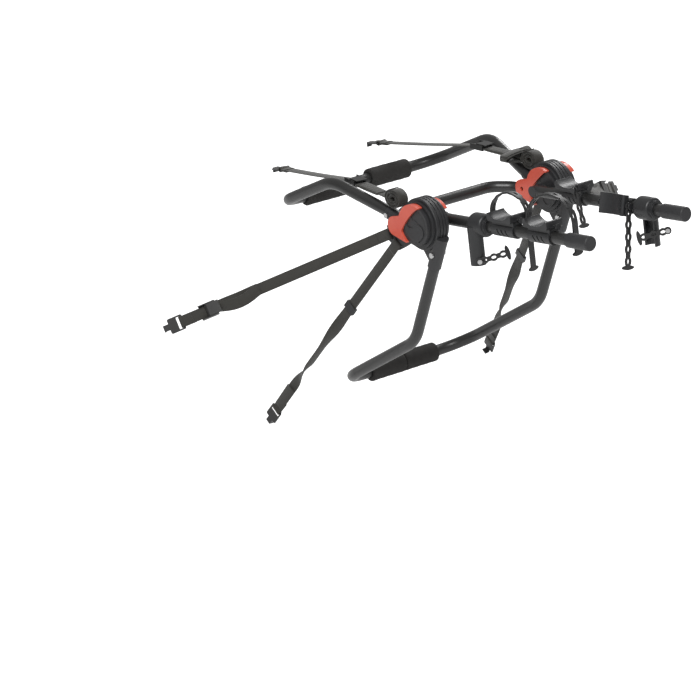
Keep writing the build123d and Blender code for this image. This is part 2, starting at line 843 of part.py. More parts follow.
def arch(view, radius, centre_y, tail, links):
    """A ladder strap bent over the saddle, from the hub side stud at x = 0 to its tail."""
    with BuildSketch(view) as profile:
        with BuildLine():
            Line((0, stud_line - link_wide / 2), (0, centre_y))
            ThreePointArc((0, centre_y), (radius, centre_y + radius), (2 * radius, centre_y))
            Line((2 * radius, centre_y), (2 * radius, -tail))
            offset(amount=strap_thick / 2, side=Side.BOTH)
        make_face()
    extrude(profile.sketch, amount=link_wide / 2, both=True)
    middle = view.from_local_coords((radius, centre_y, 0))
    for number in range(2 * links - 1):
        angle = math.radians(180 * (number + 1) / (2 * links))
        out = view.y_dir * math.sin(angle) - view.x_dir * math.cos(angle)
        spoke = Plane(origin=middle + out * (radius - strap_thick), x_dir=view.z_dir, z_dir=out)
        with BuildSketch(spoke) as profile:
            if number % 2:
                with Locations((link_notch, 0), (-link_notch, 0)):
                    Circle(link_notch - link_waist / 2)
            else:
                Ellipse(link_hole_wide / 2, link_hole_long / 2)
        extrude(profile.sketch, amount=2 * strap_thick, mode=Mode.SUBTRACT)
    stud = Plane(origin=view.from_local_coords((-strap_thick, stud_line, 0)), z_dir=view.x_dir)
    with BuildSketch(stud) as profile:
        Circle(stud_r + stud_slack)
    extrude(profile.sketch, amount=2 * strap_thick, mode=Mode.SUBTRACT)
    end = Plane(origin=view.from_local_coords((2 * radius, -tail, 0)), x_dir=view.z_dir, z_dir=view.x_dir)
    with BuildSketch(end) as profile:
        Ellipse(tab_wide / 2, tab_tall / 2)
    extrude(profile.sketch, amount=strap_thick / 2, both=True)


cradles = {
    "left_plain": (-1, plain_station_left, 0),
    "right_plain": (1, plain_station_right, 0),
    "left_sway": (-1, sway_station_left, 0),
    "right_sway": (1, sway_station_right, sway_roll_right),
}
for name, (side, station, roll) in cradles.items():
    with BuildPart() as cradle_clamp:
        clamp(side, station, roll)
    write(cradle_clamp, f"{name}_clamp")
    with BuildPart() as cradle_saddle:
        saddle(side, station, roll, name == "right_plain")
    write(cradle_saddle, f"{name}_saddle")


def strap_view(station, yaw):
    """The plane of an arched strap, turned by yaw so that its tail clears the arm."""
    edge = link_wide / 2 * math.sin(math.radians(yaw))
    return side_view(-1, station - saddle_half - strap_thick / 2 - edge - 2 * gap, yaw=yaw)


with BuildPart() as left_plain_strap:
    view = strap_view(plain_station_left, plain_yaw)
    arch(view, plain_arch_r, plain_arch_y, plain_tail, plain_links)
write(left_plain_strap, "left_plain_strap")

with BuildPart() as left_sway_strap:
    view = strap_view(sway_station_left, sway_yaw)
    arch(view, sway_arch_r, sway_arch_y, sway_tail, sway_links)
write(left_sway_strap, "left_sway_strap")


def hanging(top, down, face, links):
    """An undone ladder strap that hangs from a stud, in a direction, with its face given."""
    strap = Plane(origin=top, x_dir=down, z_dir=face)
    ladder(strap, links, link_pitch)
    with BuildSketch(strap.offset(-strap_thick)) as profile:
        Circle(stud_r + gap)
    extrude(profile.sketch, amount=2 * strap_thick, mode=Mode.SUBTRACT)


with BuildPart() as right_plain_strap:
    view = side_view(1, plain_station_right).offset(saddle_wide / 2 + stud_length / 2)
    top = view.from_local_coords((side_stud_place, stud_line, 0))
    hanging(top, turned(view, -90 - plain_hang_lean).x_dir, view.z_dir, plain_hang_links)
write(right_plain_strap, "right_plain_strap")

with BuildPart() as right_sway_strap:
    view = side_view(1, sway_station_right, sway_roll_right)
    top = view.from_local_coords((saddle_half + stud_length / 2, stud_line, 0))
    level = turned(arm_plane(1, sway_station_right), -90 - sway_hang_lean)
    hanging(top, level.x_dir, arm_dir, sway_hang_links)
write(right_sway_strap, "right_sway_strap")

# Anti-sway stirrups: ribbed collar round the arm and a half pipe that hangs from it
stirrups = {
    "left": (-1, stirrup_station_left),
    "right": (1, stirrup_station_right),
}
half_open = math.radians(stirrup_open_angle)
for name, (side, station) in stirrups.items():
    across = arm_plane(side, station)
    leg = across.from_local_coords((side * stirrup_out, 0, -stirrup_back))
    pipe_top = Plane(origin=leg, x_dir=across.x_dir * -side, z_dir=-across.y_dir)
    with BuildPart() as stirrup:
        with BuildSketch(across.offset(-knuckle_half)):
            Circle(knuckle_r)
        extrude(amount=2 * knuckle_half)
        fillet(stirrup.edges().filter_by(GeomType.CIRCLE), knuckle_round)
        for number in range(rib_count):
            start = knuckle_half + rib_space * number
            with BuildSketch(across.offset(start)):
                Circle(rib_r)
            extrude(amount=rib_thick)
            with BuildSketch(across.offset(start + rib_thick)):
                Circle(rib_r - rib_thick)
            extrude(amount=rib_space - rib_thick)
        with BuildSketch(pipe_top):
            Circle(stirrup_r)
            Circle(stirrup_r - stirrup_wall, mode=Mode.SUBTRACT)
            Polygon(
                (0, 0),
                (2 * stirrup_r * math.cos(half_open), 2 * stirrup_r * math.sin(half_open)),
                (4 * stirrup_r, 0),
                (2 * stirrup_r * math.cos(half_open), -2 * stirrup_r * math.sin(half_open)),
                align=None,
                mode=Mode.SUBTRACT,
            )
        extrude(amount=stirrup_drop)
        with BuildSketch(across.offset(-knuckle_half - stirrup_back - overrun)):
            Circle(clamp_bore)
        bore_long = 2 * knuckle_half + stirrup_back + rib_count * rib_space + 2 * overrun
        extrude(amount=bore_long, mode=Mode.SUBTRACT)
    write(stirrup, f"{name}_stirrup")
    out = turned(Plane(origin=leg, x_dir=arm_dir, z_dir=across.y_dir), stirrup_strap_turn).x_dir
    facing = out.cross(across.y_dir)
    if side < 0:
        off = stirrup_r + gap + strap_thick / 2
        middle = leg - across.y_dir * left_strap_drop + facing * off
        foot = Plane(origin=middle + out * left_strap_start, x_dir=out, z_dir=facing)
        foot = turned(foot, left_strap_lean)
        links = left_strap_links
    else:
        lip = half_open - math.radians(stirrup_strap_turn)
        off = stirrup_r * math.cos(lip) + gap + strap_thick / 2
        middle = leg - across.y_dir * right_strap_drop + facing * off
        foot = Plane(origin=middle + out * right_strap_start, x_dir=-out, z_dir=facing)
        foot = turned(foot, right_strap_lean)
        links = right_strap_links
    with BuildPart() as strap:
        ladder(foot, links, stirrup_pitch)
    write(strap, f"{name}_stirrup_strap")
    with BuildPart() as screw:
        with BuildSketch(foot.offset(strap_thick / 2)):
            Circle(screw_head_r)
        extrude(amount=screw_head_thick)
    write(screw, f"{name}_stirrup_screw")


# Webbing and what is on it, all mirrored left and right
def hook_plate(plane):
    """A slotted hook; x runs outwards, y is the webbing's face and z its width."""
    flat = Plane(origin=plane.origin, x_dir=plane.x_dir, z_dir=plane.y_dir)
    with BuildSketch(flat) as profile:
        with Locations((-hook_bar / 2 + hook_long / 2, 0)):
            RectangleRounded(hook_long, hook_wide, hook_bar / 2)
        with Locations((hook_bar / 2 + hook_slot_long / 2, 0)):
            Rectangle(hook_slot_long, hook_slot_wide, mode=Mode.SUBTRACT)
        with Locations((hook_long - hook_bar / 2 + hook_tip_long / 2 - hook_thick, 0)):
            Rectangle(hook_tip_long, hook_tip_wide)
    extrude(profile.sketch, amount=hook_thick / 2, both=True)
    lip_x = hook_long - hook_bar / 2 + hook_tip_long - hook_thick
    box_on(plane, lip_x - hook_thick, lip_x, -hook_lip, hook_thick / 2, hook_tip_wide / 2)


def webbing(plane, length, loop):
    """A flat strap along a plane's x; a loop radius wraps its far end round a bar."""
    stop = length - loop - web_thick / 2 if loop else length
    with BuildSketch(plane) as profile:
        with Locations((stop / 2, 0)):
            Rectangle(stop, web_thick)
        if loop:
            with Locations((length, 0)):
                Circle(loop + web_thick)
                Circle(loop, mode=Mode.SUBTRACT)
    extrude(profile.sketch, amount=web_wide / 2, both=True)


def anchor(side, slot, angle):
    """The webbing's doubled end, which fills a slot of the ear and holds the strap."""
    with BuildSketch(hub_plane(side * upper_plate_x)) as profile:
        with Locations(Location((slot[0], slot[1], 0), angle)):
            SlotOverall(ear_slot_long - 2 * run_fit, ear_slot_wide - 2 * run_fit)
    extrude(profile.sketch, amount=side * (upper_plate_thick + web_thick))


def buckle(plane, at):
    """Cam buckle frame: floor under the webbing, two walls and the cam's pin."""
    floor = -web_thick / 2
    half = buckle_wide / 2
    box_on(plane, at - buckle_long / 2, at + buckle_long / 2, floor - buckle_wall, floor, half)
    for way in (-1, 1):
        wall = plane.offset(way * (half - buckle_wall / 2))
        box_on(wall, at - buckle_long / 2, at + buckle_long / 2, floor, buckle_tall, buckle_wall / 2)
    with BuildSketch(plane) as profile:
        with Locations((at, cam_height)):
            Circle(cam_pin_r)
    extrude(profile.sketch, amount=half - buckle_wall / 2, both=True)


def cam(plane, at):
    """The cam and its thumb tab, on the buckle's pin."""
    half = buckle_wide / 2 - buckle_wall - gap
    with BuildSketch(plane) as profile:
        with Locations((at, cam_height)):
            Circle(cam_r)
        with Locations((at - cam_tab_long / 2, cam_height + cam_r - cam_tab_thick / 2)):
            Rectangle(cam_tab_long, cam_tab_thick)
        with Locations((at, cam_height)):
            Circle(cam_pin_r + run_fit, mode=Mode.SUBTRACT)
    extrude(profile.sketch, amount=half, both=True)


hook_loop = hook_bar / 2 + gap
slot_x = upper_plate_x + upper_plate_thick + web_thick
ends = [
    ("side", -1, side_slot, left_side_hook),
    ("side", 1, side_slot, right_side_hook),
    ("lower", -1, lower_slot, lower_hook),
    ("lower", 1, lower_slot, lower_hook),
]
runs = {}
for name, side, slot, hook in ends:
    start = Vector(side * slot_x, slot[0], slot[1])
    plane = web_plane(start, flipped(hook, side), (side, 0, 0))
    runs[name, side] = (plane, (flipped(hook, side) - start).length)

with BuildPart() as side_straps:
    for side in sides.values():
        plane, length = runs["side", side]
        webbing(plane, length, hook_loop)
        anchor(side, side_slot, side_slot_angle)
write(side_straps, "side_straps")

with BuildPart() as lower_straps:
    for side in sides.values():
        plane, length = runs["lower", side]
        webbing(plane, length, hook_loop)
        anchor(side, lower_slot, lower_slot_angle)
write(lower_straps, "lower_straps")

with BuildPart() as lower_keepers:
    for side in sides.values():
        plane, length = runs["lower", side]
        middle = length * keeper_share
        half = keeper_long / 2
        outer = web_thick / 2 + gap
        box_on(plane, middle - half, middle + half, -keeper_thick / 2, keeper_thick / 2, keeper_wide / 2)
        box_on(plane, middle - half, middle + half, -outer, outer, web_wide / 2 + gap, Mode.SUBTRACT)
write(lower_keepers, "lower_keepers")

# Upper webbing: a roll of spare length on the socket, a padded sleeve and a cam buckle
roll_z = upper_root_z + (upper_neck_z - upper_root_z) * roll_share + upper_socket_r + roll_r + 3 * gap
for side in sides.values():
    start = Vector(side * roll_x, roll_y + roll_r, roll_z)
    kink = flipped(upper_kink, side)
    end = flipped(upper_hook, side)
    plane = web_plane(start, kink, (0, start.Z - kink.Z, kink.Y - start.Y))
    runs["rear", side] = (plane, (kink - start).length)
    plane = web_plane(kink, end, (0, kink.Z - end.Z, end.Y - kink.Y))
    runs["upper", side] = (plane, (end - kink).length)

with BuildPart() as webbing_rolls:
    for side in sides.values():
        with BuildSketch(Plane(origin=(side * roll_x, roll_y, roll_z), z_dir=(1, 0, 0))):
            Circle(roll_r)
            Circle(roll_core_r, mode=Mode.SUBTRACT)
        extrude(amount=web_wide / 2, both=True)
write(webbing_rolls, "webbing_rolls")

with BuildPart() as upper_rear_straps:
    for side in sides.values():
        plane, length = runs["rear", side]
        start = plane.shift_origin(plane.origin + plane.x_dir * roll_clear)
        webbing(start, length - roll_clear, 0)
write(upper_rear_straps, "upper_rear_straps")

with BuildPart() as strap_sleeves:
    for side in sides.values():
        plane, length = runs["rear", side]
        stop = sleeve_start + sleeve_length
        outer = web_thick / 2 + gap
        box_on(plane, sleeve_start, stop, -sleeve_thick / 2, sleeve_thick / 2, sleeve_wide / 2)
        along = strap_sleeves.edges().filter_by(lambda edge: edge.length > sleeve_length - gap)
        fillet(along.sort_by(Axis.X)[-4:], outer)
    for side in sides.values():
        plane, length = runs["rear", side]
        stop = sleeve_start + sleeve_length
        outer = web_thick / 2 + gap
        box_on(plane, sleeve_start, stop, -outer, outer, web_wide / 2 + gap, Mode.SUBTRACT)
write(strap_sleeves, "strap_sleeves")

with BuildPart() as upper_straps:
    for side in sides.values():
        plane, length = runs["upper", side]
        webbing(plane.shift_origin(plane.origin + plane.x_dir * snug), length - snug, hook_loop)
write(upper_straps, "upper_straps")

with BuildPart() as strap_hooks:
    for (name, side), (plane, length) in runs.items():
        if name != "rear":
            hook_plate(plane.shift_origin(plane.origin + plane.x_dir * length))
write(strap_hooks, "strap_hooks")

with BuildPart() as buckle_frames:
    for side in sides.values():
        plane, length = runs["rear", side]
        buckle(plane, length - buckle_long / 2)
        plane, length = runs["side", side]
        buckle(plane, length - buckle_from_hook)
write(buckle_frames, "buckle_frames")

for name, side in sides.items():
    with BuildPart() as upper_cam:
        plane, length = runs["rear", side]
        cam(plane, length - buckle_long / 2)
    write(upper_cam, f"{name}_upper_cam")
    with BuildPart() as side_cam:
        plane, length = runs["side", side]
        cam(plane, length - buckle_from_hook)
    write(side_cam, f"{name}_side_cam")
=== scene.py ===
# %% [markdown]
# # Trunk mounted bike rack
#
# The CAD solids give this scene every hard piece: tubes, hubs, caps, levers, cradles
# and buckles. The scene dresses them and adds the soft goods. Webbing, rolled spare
# webbing, padded sleeves and foam are built here, because they bend, bulge and twist.
# Lengths are metres in the CAD frame: +X to the car's right, +Y forwards, +Z up.

import json
import math

import bmesh
import bpy
from mathutils import Matrix, Vector


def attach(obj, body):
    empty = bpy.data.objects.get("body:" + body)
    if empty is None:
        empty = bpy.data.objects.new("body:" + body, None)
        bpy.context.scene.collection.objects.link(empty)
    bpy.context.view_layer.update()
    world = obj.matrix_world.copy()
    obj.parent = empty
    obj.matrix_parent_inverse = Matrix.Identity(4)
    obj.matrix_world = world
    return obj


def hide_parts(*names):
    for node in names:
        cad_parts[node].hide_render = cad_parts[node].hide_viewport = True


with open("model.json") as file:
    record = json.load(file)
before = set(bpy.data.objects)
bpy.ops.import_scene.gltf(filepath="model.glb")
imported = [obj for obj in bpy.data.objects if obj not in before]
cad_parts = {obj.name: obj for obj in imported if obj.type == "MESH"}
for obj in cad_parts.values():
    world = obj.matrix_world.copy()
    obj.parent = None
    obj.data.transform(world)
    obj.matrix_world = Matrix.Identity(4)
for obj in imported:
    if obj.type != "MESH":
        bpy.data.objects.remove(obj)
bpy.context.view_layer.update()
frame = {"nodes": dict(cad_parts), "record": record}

# %% [markdown]
# ## Two coordinate systems
# The rack was drawn about the axis of its hubs, in millimetres, and its pieces are
# easiest to place there. The CAD frame's origin is the middle of the lower cross tube.
# `row` turns a point of the drawing into a point of the scene.

# %% From the drawing to the scene
MM = 0.001
HUB = Vector((0, -0.306, 0.466))


def row(x, y, z):
    return Vector((x, y, z)) * MM + HUB


print("hub axis passes through", [round(value, 3) for value in HUB])

# %% [markdown]
# ## Camera
# The photo looks down at the rack from its left rear, 20 degrees above level, with a
# long lens. Place and lens come from matching tube ends, bends and caps of both frames.

# %% Camera
VIEW = Vector((0.6075, 0.7154, -0.3450))
RIGHT = Vector((0.7622, -0.6473, 0.0))
UP = Vector((0.2233, 0.2630, 0.9386))
FOCAL_PX, DISTANCE = 3315.0, 7.131
AIM_X, AIM_Y = 139.6, 146.0

lens = bpy.data.cameras.new("camera")
lens.sensor_width = 36.0
lens.lens = FOCAL_PX / 700 * 36.0
lens.clip_end = 200.0
camera = bpy.data.objects.new("camera", lens)
bpy.context.scene.collection.objects.link(camera)
forward = (VIEW * FOCAL_PX - RIGHT * AIM_X - UP * AIM_Y).normalized()
across = forward.cross(UP).normalized()
top = across.cross(forward)
turn = Matrix((across, top, -forward)).transposed().to_4x4()
camera.matrix_world = Matrix.Translation(HUB - VIEW * DISTANCE) @ turn
bpy.context.scene.camera = camera
bpy.context.scene.view_settings.view_transform = "Standard"
print("lens", round(lens.lens, 1), "mm")

# %% [markdown]
# ## Floor and light
# A pale floor just under the lowest hook stands in for the studio. One large soft light
# above and behind the camera does most of the work. A weaker one from the right draws
# the thin bright rims along the tubes.

# %% Floor, sky and lamps
def area_light(name, place, target, width, power, tint=(1, 1, 1)):
    data = bpy.data.lights.new(name, "AREA")
    data.shape = "DISK"
    data.size = width
    data.energy = power
    data.color = tint
    lamp = bpy.data.objects.new(name, data)
    lamp.location = place
    lamp.rotation_euler = (Vector(target) - Vector(place)).to_track_quat("-Z", "Y").to_euler()
    bpy.context.scene.collection.objects.link(lamp)
    return lamp


floor_mesh = bpy.data.meshes.new("floor")
FLOOR_Z, FLOOR_HALF, FLOOR_LIFT = -0.12, 40.0, 0.5
floor_mesh.from_pydata(
    [(x * FLOOR_HALF, y * FLOOR_HALF, FLOOR_Z) for x, y in ((-1, -1), (1, -1), (1, 1), (-1, 1))],
    [],
    [(0, 1, 2, 3)],
)
floor = bpy.data.objects.new("floor", floor_mesh)
bpy.context.scene.collection.objects.link(floor)
pale = bpy.data.materials.new("pale floor")
pale.use_nodes = True
pale_shader = pale.node_tree.nodes["Principled BSDF"]
pale_shader.inputs["Base Color"].default_value = (0.93, 0.93, 0.93, 1)
pale_shader.inputs["Roughness"].default_value = 0.9
pale_shader.inputs["Specular IOR Level"].default_value = 0.0
pale_shader.inputs["Emission Color"].default_value = (1, 1, 1, 1)
pale_nodes = pale.node_tree
seen = pale_nodes.nodes.new("ShaderNodeLightPath").outputs["Is Camera Ray"]
lift = pale_nodes.nodes.new("ShaderNodeMath")
lift.operation = "MULTIPLY"
lift.inputs[1].default_value = FLOOR_LIFT
pale_nodes.links.new(seen, lift.inputs[0])
pale_nodes.links.new(lift.outputs[0], pale_shader.inputs["Emission Strength"])
floor_mesh.materials.append(pale)

world = bpy.data.worlds.new("studio")
bpy.context.scene.world = world
world.use_nodes = True
world.node_tree.nodes["Background"].inputs["Color"].default_value = (1, 1, 1, 1)
world.node_tree.nodes["Background"].inputs["Strength"].default_value = 0.4
area_light("key", (-2.2, -2.6, 4.2), (0, 0, 0.4), 2.6, 190)
area_light("rim", (3.4, 1.6, 2.6), (0, -0.2, 0.4), 1.6, 90)
print("lamps: key, rim")

# %% [markdown]
# ## Small tools for materials
# Each finish is a node group with named sockets. A group hands out a colour, a
# roughness and a normal. The Principled shader stays in the material, so a group
# can serve several materials with different numbers.

# %% Material tools
def add(tree, kind, inputs=None, **settings):
    """Add a node; inputs maps a socket's name or number to a value or another socket."""
    node = tree.nodes.new(kind)
    for key, value in settings.items():
        setattr(node, key, value)
    for key, value in (inputs or {}).items():
        if isinstance(value, bpy.types.NodeSocket):
            tree.links.new(value, node.inputs[key])
        else:
            node.inputs[key].default_value = value
    return node


def maths(tree, operation, first, second=0.0):
    return add(tree, "ShaderNodeMath", {0: first, 1: second}, operation=operation).outputs[0]


def blend_colour(tree, factor, first, second):
    node = add(tree, "ShaderNodeMix", data_type="RGBA")
    for socket, value in ((node.inputs[0], factor), (node.inputs[6], first), (node.inputs[7], second)):
        if isinstance(value, bpy.types.NodeSocket):
            tree.links.new(value, socket)
        else:
            socket.default_value = value
    return node.outputs[2]


def spread(tree, value, low, high):
    """Map 0..1 to low..high."""
    node = add(tree, "ShaderNodeMapRange", {"Value": value, "To Min": low, "To Max": high})
    return node.outputs[0]


def noise(tree, place, scale, detail):
    return add(tree, "ShaderNodeTexNoise", {"Vector": place, "Scale": scale, "Detail": detail}).outputs[0]


def new_group(name, inputs):
    """A group that gives Color, Roughness and Normal; inputs maps a name to its default."""
    tree = bpy.data.node_groups.new(name, "ShaderNodeTree")
    for label, value in inputs.items():
        kind = "NodeSocketFloat" if isinstance(value, float) else "NodeSocketColor"
        tree.interface.new_socket(label, in_out="INPUT", socket_type=kind).default_value = value
    tree.interface.new_socket("Color", in_out="OUTPUT", socket_type="NodeSocketColor")
    tree.interface.new_socket("Roughness", in_out="OUTPUT", socket_type="NodeSocketFloat")
    tree.interface.new_socket("Normal", in_out="OUTPUT", socket_type="NodeSocketVector")
    return tree, tree.nodes.new("NodeGroupInput").outputs, tree.nodes.new("NodeGroupOutput")


def hand_out(tree, leave, colour, roughness, normal):
    for label, value in (("Color", colour), ("Roughness", roughness), ("Normal", normal)):
        tree.links.new(value, leave.inputs[label])


def material(name, group, slot_numbers, **shader_numbers):
    """A material whose Principled shader is fed by a group."""
    made = bpy.data.materials.new(name)
    made.use_nodes = True
    tree = made.node_tree
    shader = tree.nodes["Principled BSDF"]
    node = add(tree, "ShaderNodeGroup", node_tree=group)
    for label, value in slot_numbers.items():
        node.inputs[label].default_value = value
    tree.links.new(node.outputs["Color"], shader.inputs["Base Color"])
    tree.links.new(node.outputs["Roughness"], shader.inputs["Roughness"])
    tree.links.new(node.outputs["Normal"], shader.inputs["Normal"])
    for label, value in shader_numbers.items():
        shader.inputs[label.replace("_", " ")].default_value = value
    return made


def grey(value):
    return (value, value, value, 1)


print("material tools ready")

# %% [markdown]
# ## Soft edges
# Moulded and painted pieces have no knife edges. The bevel node rounds the shading over
# a fraction of a millimetre. Where the rounded normal leaves the true one there is an
# edge, and that mask makes rubbed edges a little lighter.

# %% Soft edge group
def soft_edge(tree, radius):
    """Give the rounded normal and a 0..1 mask of the edges."""
    rounded = add(tree, "ShaderNodeBevel", {"Radius": radius}, samples=4).outputs[0]
    flat = add(tree, "ShaderNodeNewGeometry").outputs["Normal"]
    facing = add(tree, "ShaderNodeVectorMath", {0: rounded, 1: flat}, operation="DOT_PRODUCT")
    lost = maths(tree, "SUBTRACT", 1.0, facing.outputs["Value"])
    mask = maths(tree, "MINIMUM", maths(tree, "MULTIPLY", lost, 6.0), 1.0)
    return rounded, mask


print("soft edges ready")

# %% [markdown]
# ## Powder coat
# The tubes are painted with a satin powder coat. It has a fine orange peel and a thin
# film of dust that greys what faces up.

# %% Powder coat group
def powder_coat():
    tree, enter, leave = new_group(
        "powder coat",
        {"Paint": grey(0.012), "Dust": 0.2, "Peel": 0.12, "Low": 0.34, "High": 0.5},
    )
    place = add(tree, "ShaderNodeTexCoord").outputs["Object"]
    fine = noise(tree, place, 700.0, 2.0)
    wide = noise(tree, place, 18.0, 5.0)
    rounded, edge = soft_edge(tree, 0.0008)
    up = add(tree, "ShaderNodeSeparateXYZ", {0: rounded}).outputs["Z"]
    facing_up = maths(tree, "MAXIMUM", up, 0.0)
    film = maths(tree, "MULTIPLY", facing_up, maths(tree, "MULTIPLY", wide, enter["Dust"]))
    dusty = blend_colour(tree, film, enter["Paint"], (0.075, 0.073, 0.068, 1))
    colour = blend_colour(tree, maths(tree, "MULTIPLY", edge, 0.3), dusty, grey(0.06))
    rough = spread(tree, wide, enter["Low"], enter["High"])
    bump = add(
        tree,
        "ShaderNodeBump",
        {"Height": fine, "Strength": enter["Peel"], "Distance": 0.0003, "Normal": rounded},
    )
    hand_out(tree, leave, colour, rough, bump.outputs[0])
    return tree


POWDER = powder_coat()
print("group:", POWDER.name)

# %% [markdown]
# ## Moulded plastic and rubber
# Injection moulded pieces carry a fine spark grain from the mould, slow drifts of tone
# and paler edges. Rubber is the same group with a stronger grain and less shine.

# %% Moulded group
def moulded():
    tree, enter, leave = new_group(
        "moulded",
        {"Base": grey(0.04), "Edge": grey(0.1), "Grain": 0.3, "Wear": 0.5, "Low": 0.4, "High": 0.55},
    )
    place = add(tree, "ShaderNodeTexCoord").outputs["Object"]
    grain = noise(tree, place, 1300.0, 3.0)
    drift = noise(tree, place, 26.0, 4.0)
    rounded, edge = soft_edge(tree, 0.0009)
    tone = blend_colour(tree, maths(tree, "MULTIPLY", drift, 0.3), enter["Base"], enter["Edge"])
    wear = maths(tree, "MULTIPLY", edge, enter["Wear"])
    worn = maths(tree, "MULTIPLY", wear, spread(tree, drift, 0.4, 1.2))
    colour = blend_colour(tree, worn, tone, enter["Edge"])
    rough = spread(tree, drift, enter["Low"], enter["High"])
    bump = add(
        tree,
        "ShaderNodeBump",
        {"Height": grain, "Strength": enter["Grain"], "Distance": 0.0002, "Normal": rounded},
    )
    hand_out(tree, leave, colour, rough, bump.outputs[0])
    return tree


MOULDED = moulded()
print("group:", MOULDED.name)

# %% [markdown]
# ## Webbing
# Polypropylene webbing is woven with ribs along its length and a fine herringbone
# across. Its strips carry UVs in metres: U runs along the strap and V across it.
# The valleys of the weave get a darker colour, which is painted shade, and a random drift in tone rides on top
# of it.

# %% Woven group
def woven():
    tree, enter, leave = new_group(
        "woven",
        {"Thread": (0.034, 0.032, 0.025, 1), "Valley shade": (0.008, 0.0075, 0.006, 1), "Depth": 0.55},
    )
    uv = add(tree, "ShaderNodeTexCoord").outputs["UV"]
    parts = add(tree, "ShaderNodeSeparateXYZ", {0: uv})
    along, over = parts.outputs["X"], parts.outputs["Y"]
    rib = maths(tree, "MULTIPLY", over, 2 * math.pi / 0.0022)
    ribs = maths(tree, "SINE", rib)
    lean = maths(tree, "MULTIPLY", maths(tree, "ABSOLUTE", ribs), 1.6)
    pick = maths(tree, "ADD", maths(tree, "MULTIPLY", along, 2 * math.pi / 0.0016), lean)
    picks = maths(tree, "SINE", pick)
    cloth = maths(tree, "ADD", maths(tree, "MULTIPLY", ribs, 0.6), maths(tree, "MULTIPLY", picks, 0.4))
    height = maths(tree, "ADD", maths(tree, "MULTIPLY", cloth, 0.5), 0.5)
    place = add(tree, "ShaderNodeTexCoord").outputs["Object"]
    drift = noise(tree, place, 45.0, 5.0)
    # Painted shade: where the weave is low, the colour goes to the darker valley shade colour. The noise drift
    # adds a random variation in tone.
    factor = maths(tree, "MULTIPLY", height, spread(tree, drift, 0.6, 1.2))
    colour = blend_colour(tree, factor, enter["Valley shade"], enter["Thread"])
    bump = add(tree, "ShaderNodeBump", {"Height": height, "Strength": enter["Depth"], "Distance": 0.0004})
    hand_out(tree, leave, colour, spread(tree, drift, 0.62, 0.8), bump.outputs[0])
    return tree


WOVEN = woven()
print("group:", WOVEN.name)

# %% [markdown]
# ## Foam
# Closed cell foam is matte and full of small pits.

# %% Foam group
def foam_cells():
    tree, enter, leave = new_group(
        "foam cells",
        {"Skin": (0.020, 0.0185, 0.017, 1), "Pit": grey(0.006), "Depth": 0.5},
    )
    place = add(tree, "ShaderNodeTexCoord").outputs["Object"]
    cells = add(tree, "ShaderNodeTexVoronoi", {"Vector": place, "Scale": 620.0}).outputs["Distance"]
    lumps = noise(tree, place, 70.0, 6.0)
    height = maths(tree, "ADD", maths(tree, "MULTIPLY", cells, 0.5), lumps)
    colour = blend_colour(tree, maths(tree, "MULTIPLY", cells, lumps), enter["Skin"], enter["Pit"])
    bump = add(tree, "ShaderNodeBump", {"Height": height, "Strength": enter["Depth"], "Distance": 0.0008})
    hand_out(tree, leave, colour, spread(tree, lumps, 0.8, 0.95), bump.outputs[0])
    return tree


FOAM = foam_cells()
print("group:", FOAM.name)

# %% [markdown]
# ## Bright steel
# Bolts and screws are zinc plated: metallic, with fine scratches.

# %% Bright steel group
def bright_steel():
    tree, enter, leave = new_group(
        "bright steel",
        {"Metal": grey(0.62), "Scratch": 0.25, "Low": 0.22, "High": 0.4},
    )
    place = add(tree, "ShaderNodeTexCoord").outputs["Object"]
    squeezed = add(tree, "ShaderNodeMapping", {"Vector": place, "Scale": (3000.0, 400.0, 400.0)}).outputs[0]
    lines = noise(tree, squeezed, 1.0, 3.0)
    rounded, edge = soft_edge(tree, 0.0006)
    colour = blend_colour(tree, maths(tree, "MULTIPLY", lines, 0.4), enter["Metal"], grey(0.35))
    rough = spread(tree, lines, enter["Low"], enter["High"])
    bump = add(
        tree,
        "ShaderNodeBump",
        {"Height": lines, "Strength": enter["Scratch"], "Distance": 0.0002, "Normal": rounded},
    )
    hand_out(tree, leave, colour, rough, bump.outputs[0])
    return tree


BRIGHT = bright_steel()
print("group:", BRIGHT.name)

# %% [markdown]
# ## Finishes
# The record names one slot per finish. Every piece takes its material from its slot.

# %% Make the finishes
FINISHES = {
    "tube_paint": material("tube paint", POWDER, {"Paint": grey(0.011)}, Coat_Weight=0.3, Coat_Roughness=0.22),
    "hub_plastic": material("hub plastic", MOULDED, {"Base": (0.016, 0.016, 0.018, 1), "Edge": grey(0.055)}),
    "cradle_plastic": material(
        "cradle plastic",
        MOULDED,
        {"Base": (0.013, 0.0135, 0.015, 1), "Edge": grey(0.055), "Low": 0.3, "High": 0.45},
    ),
    "lever_plastic": material(
        "lever plastic",
        MOULDED,
        {
            "Base": (0.56, 0.058, 0.030, 1),
            "Edge": (0.80, 0.19, 0.11, 1),
            "Low": 0.3,
            "High": 0.42,
            "Grain": 0.15,
        },
        Coat_Weight=0.3,
        Coat_Roughness=0.2,
    ),
    "ladder_rubber": material(
        "ladder rubber",
        MOULDED,
        {"Base": (0.012, 0.012, 0.0125, 1), "Edge": grey(0.045), "Low": 0.42, "High": 0.6, "Grain": 0.4},
    ),
    "foam": material("foam", FOAM, {}),
    "webbing": material("webbing", WOVEN, {}, Sheen_Weight=0.25, Sheen_Roughness=0.5),
    "buckle_metal": material(
        "buckle metal",
        POWDER,
        {"Paint": grey(0.012), "Peel": 0.05, "Low": 0.25, "High": 0.4},
    ),
    "bolt_steel": material("bolt steel", BRIGHT, {}, Metallic=1.0),
}
slot_of = {part["node"]: part["material_slot"] for part in frame["record"]["subparts"]}
for name, node in frame["nodes"].items():
    node.data.materials.clear()
    node.data.materials.append(FINISHES[slot_of[name]])
print("finishes:", ", ".join(FINISHES))

